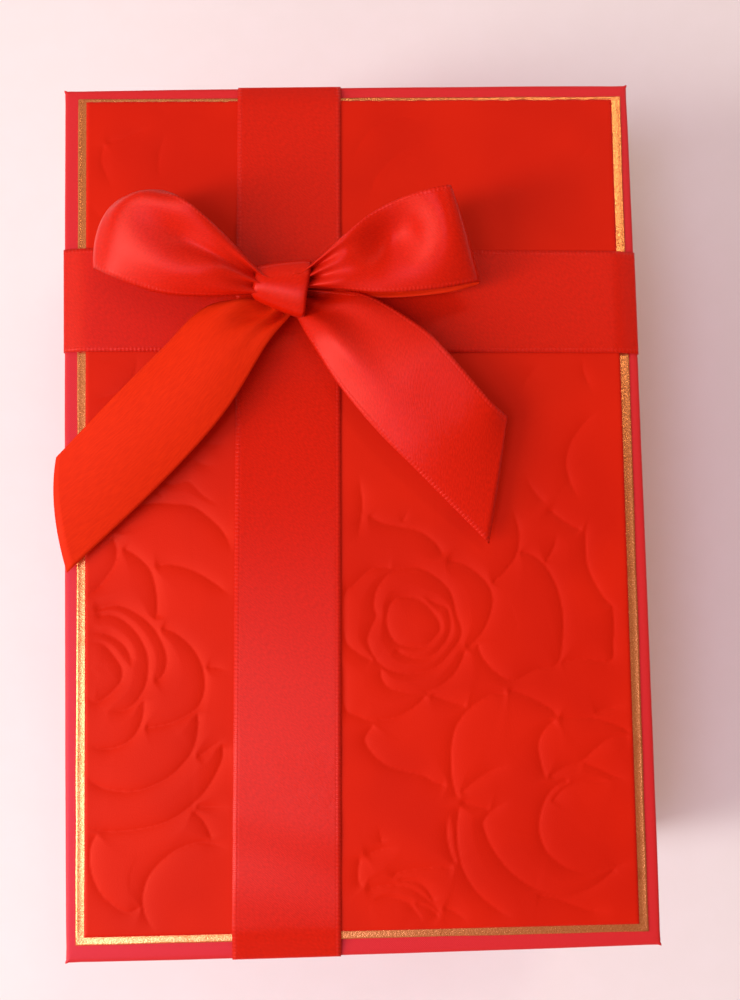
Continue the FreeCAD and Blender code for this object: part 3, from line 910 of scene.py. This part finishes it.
def makeBands(look):
    halfWide, halfLong = lidPaper["half"]
    wall = lidPaper["wall"]
    cardWide, cardLong = (side / 2 + look["beyondCard"] for side in roseCard["size"])
    cx, cy = roseCard["centre"]
    makeBand("crosswiseBand", "crosswise_ribbon", "crosswise", halfWide, halfWide - wall,
             (cx - cardWide, cx + cardWide), None)
    crossing = look["crosswise"]["at"] - look["lean"] * look["lengthwise"]["at"]
    half = look["width"] / 2 * (1 + look["lean"]) + look["humpBeyond"]
    makeBand("lengthwiseBand", "lengthwise_ribbon", "lengthwise", halfLong, halfLong - wall,
             (cy - cardLong, cy + cardLong), (crossing - half, crossing + half))


makeRoseCard(roseCard)
print("roses pressed into the card")
makeBands(ribbonBands)
print("two ribbons stretched over the lid")


# Each line of a bow piece is one crossing of the ribbon: its two edges as x, y and height
# above the lid, then its middle, or how far the middle stands above the line between them.
# A dent is where it is along the crossings, where it is across, how long, how wide and how
# high it stands, in millimetres. Pleat is how deep the gathers by the knot are, and waves how many.
bowPieces = {
    "leftLoop": {
        "node": "bow_left_loop", "outward": -1, "steps": 9, "materials": ["satinFace", "satinBack"],
        "crossings": [
            ((-18.5, 51.3, 9.0), (-18.3, 55.0, 11.4), 0.3), ((-22.3, 50.6, 9.8), (-21.6, 55.4, 12.8), 0.6),
            ((-32.0, 49.6, 11.6), (-29.6, 63.0, 17.6), 1.8), ((-44.0, 50.4, 11.2), (-37.3, 69.4, 20.4), 1.8),
            ((-54.0, 53.8, 10.4), (-42.4, 72.8, 17.2), (-51.8, 67.2, 17.6)),
            ((-60.0, 57.0, 8.8), (-43.8, 73.4, 15.0), (-55.4, 69.8, 15.4)),
            ((-61.6, 58.0, 6.6), (-44.2, 73.2, 13.2), (-56.5, 70.0, 12.6)),
            ((-60.2, 57.8, 4.6), (-43.6, 72.6, 11.6), (-55.5, 69.2, 10.2)),
            ((-55.0, 56.2, 3.6), (-41.0, 70.6, 11.4), (-50.6, 66.4, 9.2)),
            ((-42.0, 53.0, 5.0), (-34.6, 66.0, 10.4), -0.6),
            ((-22.0, 51.4, 6.6), (-21.6, 55.6, 8.4), -0.4), ((-18.6, 51.4, 6.6), (-18.3, 55.0, 8.2), -0.3)],
        "dents": [(2.9, 0.62, 0.75, 0.2, -2.4), (4.0, 0.86, 0.8, 0.2, 1.1), (1.9, 0.56, 0.9, 0.08, -1.5),
                  (1.9, 0.28, 1.2, 0.20, 1.5), (3.1, 0.22, 0.8, 0.2, 0.8)],
        "pleat": 2.6, "waves": 2.5,
    },
    "rightLoop": {
        "node": "bow_right_loop", "outward": 1, "steps": 9, "materials": ["satinFace", "satinBack"],
        "crossings": [
            ((-13.6, 51.6, 9.4), (-13.4, 55.6, 11.4), 0.3), ((-10.6, 52.0, 9.8), (-10.2, 56.2, 12.6), 0.5),
            ((-3.6, 50.9, 11.6), (-2.4, 61.4, 17.4), 0.8), ((6.5, 49.4, 13.6), (5.0, 66.3, 20.0), 0.6),
            ((18.2, 49.7, 14.0), (14.0, 69.4, 23.2), 1.8), ((27.6, 51.4, 12.8), (21.4, 70.9, 24.2), 1.8),
            ((30.2, 52.2, 10.8), (22.8, 70.7, 22.4), 1.4), ((28.8, 51.9, 9.0), (21.6, 70.2, 20.4), 1.0),
            ((21.0, 50.3, 8.0), (17.0, 68.6, 16.6), -0.4), ((7.0, 49.6, 7.6), (4.0, 64.6, 12.0), -0.6),
            ((-10.8, 51.6, 7.6), (-10.4, 56.0, 8.6), -0.3), ((-13.6, 51.6, 7.4), (-13.4, 55.4, 8.4), -0.3)],
        "dents": [(3.45, 0.6, 0.75, 0.3, -5.0), (4.6, 0.5, 0.7, 0.35, 1.4), (1.9, 0.16, 0.6, 0.12, 1.4)],
        "pleat": 2.9, "waves": 2.5,
    },
    "leftTail": {
        "node": "bow_left_tail", "outward": 1, "steps": 12, "materials": ["satinBack", "satinFace"],
        "crossings": [
            ((-19.6, 51.9, 4.6), (-14.4, 49.9, 4.8), 0.2), ((-23.4, 50.6, 5.0), (-15.0, 46.0, 5.4), 0.8),
            ((-35.0, 48.0, 7.6), (-20.4, 38.4, 9.0), 2.4), ((-45.0, 37.6, 10.0), (-30.7, 22.4, 8.4), 2.2),
            ((-56.0, 26.2, 11.0), (-45.8, 6.5, 6.0), 1.6),
            ((-69.6, 12.6, 9.5), (-68.6, -14.2, 3.5), (-70.5, 0.2, 7.6))],
        "dents": [(1.5, 0.22, 0.4, 0.16, 1.6), (1.65, 0.52, 0.5, 0.16, -1.8), (1.1, 0.80, 0.7, 0.07, -1.2),
                  (1.3, 0.93, 0.7, 0.08, 0.8)],
        "pleat": 1.6, "waves": 2.0,
    },
    "rightTail": {
        "node": "bow_right_tail", "outward": 1, "steps": 12, "materials": ["satinFace", "satinBack"],
        "crossings": [
            ((-14.6, 48.6, 5.6), (-12.6, 52.6, 5.4), 0.2), ((-13.2, 45.2, 5.8), (-8.6, 52.0, 5.4), 0.5),
            ((-9.3, 37.9, 7.4), (3.0, 50.6, 7.8), 2.0), ((-2.9, 27.7, 7.6), (15.4, 42.0, 11.6), 1.5),
            ((5.5, 17.2, 8.2), (22.0, 35.2, 12.8), 1.2), ((14.8, 7.5, 8.0), (31.4, 24.0, 12.0), 0.9),
            ((31.3, -9.5, 5.0), (36.2, 20.4, 8.6), 0.6)],
        "dents": [(2.4, 0.28, 1.0, 0.14, 1.3), (1.9, 0.62, 0.7, 0.18, -1.8), (1.2, 0.35, 0.35, 0.14, 1.3),
                  (4.6, 0.6, 0.8, 0.3, -0.6)],
        "pleat": 1.6, "waves": 2.0,
    },
}
bowRibbon = {"width": ribbonWidth, "thick": 0.26, "columns": 33, "gather": 1.35, "farGather": 1.7}


def flattenLengths(grid, width):
    # where each point lies on the flat ribbon: along its own edge line, and across the width
    steps = np.linalg.norm(np.diff(grid, axis=0), axis=2)
    along = np.vstack([np.zeros(grid.shape[1]), np.cumsum(steps, axis=0)])
    across = np.tile(np.linspace(0, width, grid.shape[1]), (grid.shape[0], 1))
    return np.stack([along, across], axis=2)


def standUp(a, b):
    # at each crossing from a to b, the way that is square to the ribbon
    heading = np.gradient((a + b) / 2, axis=0)
    normals = np.cross(heading, b - a)
    return normals / np.linalg.norm(normals, axis=1, keepdims=True)


def makeBowPiece(name, look):
    lift = Vector((0, 0, lidTop / mm))
    firsts, lasts, _ = zip(*look["crossings"])
    middles = [Vector(m) if isinstance(m, tuple) else (Vector(a) + Vector(b)) / 2 + Vector((0, 0, m))
               for a, b, m in look["crossings"]]
    a, m, b = (np.array([tuple(p + lift) for p in smoothLine(line, look["steps"])])
               for line in (firsts, middles, lasts))
    across = np.linspace(0, 1, bowRibbon["columns"])
    shares = ((1 - across) * (1 - 2 * across), 4 * across * (1 - across), across * (2 * across - 1))
    grid = sum(line[:, None, :] * share[None, :, None] for line, share in zip((a, m, b), shares))
    normals = standUp(a, b) * look["outward"]
    last = len(look["crossings"]) - 1
    place = np.linspace(0, last, len(a))
    rise = np.zeros(grid.shape[:2])
    for at, over, long, wide, high in look["dents"]:
        rise += high * np.exp(-((place[:, None] - at) / long) ** 2 - ((across[None, :] - over) / wide) ** 2)
    loop = "Loop" in name
    fromKnot = np.minimum(place, (last - place) / bowRibbon["farGather"]) if loop else place
    gather = look["pleat"] * np.exp(-(fromKnot / bowRibbon["gather"]) ** 2)
    rise += gather[:, None] * np.sin(2 * math.pi * look["waves"] * across)[None, :]
    grid += normals[:, None, :] * rise[:, :, None]
    flat = flattenLengths(grid, bowRibbon["width"])
    piece = clothPiece(name, grid, flat, bowRibbon["thick"], look["materials"], look["outward"])
    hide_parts(look["node"])
    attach(piece, "lid")


knotWrap = {
    "crossings": [((-20.8, 55.6, 5.0), (-11.0, 57.0, 5.0)), ((-22.4, 56.6, 8.0), (-9.6, 57.8, 8.2)),
                  ((-22.9, 56.2, 11.4), (-9.2, 57.6, 11.8)), ((-23.1, 54.0, 12.6), (-9.4, 54.8, 13.4)),
                  ((-23.6, 51.4, 12.2), (-10.4, 49.4, 13.0)), ((-24.0, 49.9, 10.4), (-11.0, 45.3, 11.0)),
                  ((-23.2, 49.8, 8.2), (-12.0, 44.8, 8.2)), ((-21.2, 51.0, 6.2), (-13.6, 46.8, 5.8))],
    "steps": 8, "columns": 37, "tuck": 6.0, "tuckGap": 0.7, "softEdge": 0.05, "crown": 0.5, "round": 0.6,
}


def makeKnot(look):
    lift = Vector((0, 0, lidTop / mm))
    a, b = (np.array([tuple(p) for p in smoothLine([Vector(end) + lift for end in ends], look["steps"])])
            for ends in zip(*look["crossings"]))
    normals = standUp(a, b)
    span = np.linalg.norm(b - a, axis=1)
    sideways = (b - a) / span[:, None]
    # the ribbon's two edges are tucked under, and the rest of its width shows
    total = look["tuck"] * 2 + span.mean()
    rows = []
    for i in range(len(a)):
        row = []
        for k in range(look["columns"]):
            s = k / (look["columns"] - 1) * total - look["tuck"]
            over = s / span.mean()
            if over < 0:
                inside, depth = -s / look["tuck"] * 0.5, look["tuckGap"]
            elif over > 1:
                inside, depth = 1 - (s - span.mean()) / look["tuck"] * 0.5, look["tuckGap"]
            else:
                inside, depth = over, 0.0
            edge = min(max(inside, 0), 1)
            bulge = look["crown"] * (4 * edge * (1 - edge)) ** look["round"]
            fromEdge = min(abs(over), abs(over - 1))
            soft = look["tuckGap"] * math.exp(-(fromEdge / look["softEdge"]) ** 2) * 0.5
            down = depth - soft if depth else soft
            row.append(a[i] + sideways[i] * span[i] * edge + normals[i] * (bulge - down))
        rows.append(row)
    grid = np.array(rows)
    flat = flattenLengths(grid, total)
    piece = clothPiece("bowKnot", grid, flat, bowRibbon["thick"], ["satinFace", "satinBack"], 1)
    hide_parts("bow_knot")
    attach(piece, "lid")


padLook = {"steps": 48, "edge": 0.3, "waist": 0.15}


def makePad(look):
    low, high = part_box("bow_pad")
    cx, cy = (low[0] + high[0]) / 2 / mm, (low[1] + high[1]) / 2 / mm
    bottom, top = low[2] / mm, high[2] / mm
    radius, edge = (high[0] - low[0]) / 2 / mm, look["edge"]
    levels = [(0.0, bottom), (radius - edge, bottom), (radius, bottom + edge),
              (radius - look["waist"], (bottom + top) / 2),
              (radius, top - edge), (radius - edge, top), (0.0, top)]
    turns = [2 * math.pi * k / look["steps"] for k in range(look["steps"])]
    points = [Vector((cx + r * math.cos(t), cy + r * math.sin(t), z)) * mm for r, z in levels for t in turns]
    piece = addPiece("bowPad", points, gridFaces(len(levels), look["steps"], True), ["padFoam"])
    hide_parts("bow_pad")
    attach(piece, "lid")


makePad(padLook)
makeKnot(knotWrap)
for pieceName, pieceLook in bowPieces.items():
    makeBowPiece(pieceName, pieceLook)
print("bow tied")


# the pieces that show the CAD's own shapes
keptFinishes = {
    "base_board": "greyBoard", "lid_board": "greyBoard", "base_corner_stays": "stayTape",
    "lid_corner_stays": "stayTape", "base_bottom_sheet": "wrapPaper", "base_side_lining": "liningPaper",
    "base_floor_card": "liningPaper", "lid_lining": "liningPaper",
}


def dressNode(node, material):
    if not node.material_slots:
        node.data.materials.append(material)
    for slot in node.material_slots:
        slot.material = material


for nodeName, finishName in keptFinishes.items():
    dressNode(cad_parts[nodeName], finishes[finishName])


def makeFloor():
    bpy.ops.mesh.primitive_plane_add(size=roomLight["floorSide"], location=(0, 0, 0))
    floor = bpy.context.object
    floor.name = "tableTop"
    floor.data.materials.append(finishes["floorPaper"])


makeFloor()
